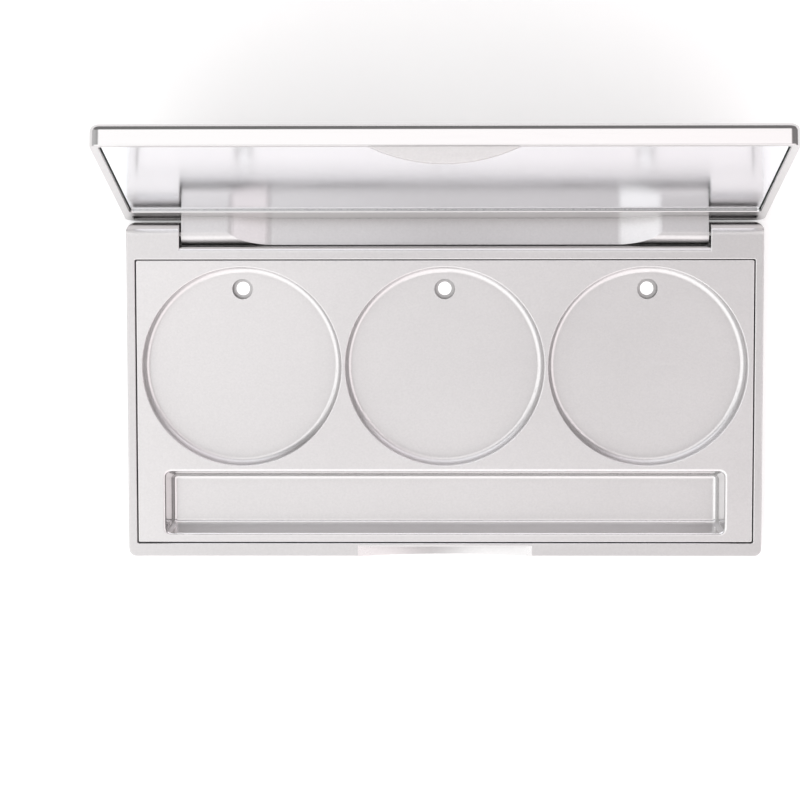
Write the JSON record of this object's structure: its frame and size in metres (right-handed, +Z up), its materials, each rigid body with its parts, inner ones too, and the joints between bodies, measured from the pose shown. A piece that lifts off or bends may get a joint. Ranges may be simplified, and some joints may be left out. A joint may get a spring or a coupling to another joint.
{
  "type": "makeup palette",
  "caption": "Hinged makeup palette with round magnetic pan wells, a long brush trough and a mirror in its lid.",
  "frame": {"origin": "centre of the base's underside, on the surface that it stands on", "axes": "+X to the right along the hinge, +Y towards the hinge, +Z up out of the wells"},
  "size_m": [0.1212, 0.0824, 0.0627],
  "materials": {
    "case": "satin silver with fine flake",
    "tray": "satin silver with fine flake",
    "lid": "satin silver with fine flake",
    "magnet": "nickel plated",
    "pin": "bright drawn",
    "mirror": "silvered glass",
    "tape": "white foam"
  },
  "bodies": {
    "base": {"base_shell": "case", "pan_tray": "tray", "well_magnet_left": "magnet", "well_magnet_middle": "magnet", "well_magnet_right": "magnet", "hinge_pin_left": "pin", "hinge_pin_right": "pin"},
    "lid": {"lid_shell": "lid", "mirror_glass": "mirror", "mirror_tape": "tape"}
  },
  "joints": [
    {"name": "lid_hinge", "type": "hinge", "parent": "base", "child": "lid", "pos_m": [0, 0.0294, 0.004], "axis": [1, 0, 0], "range_deg": [0, 104]}
  ]
}
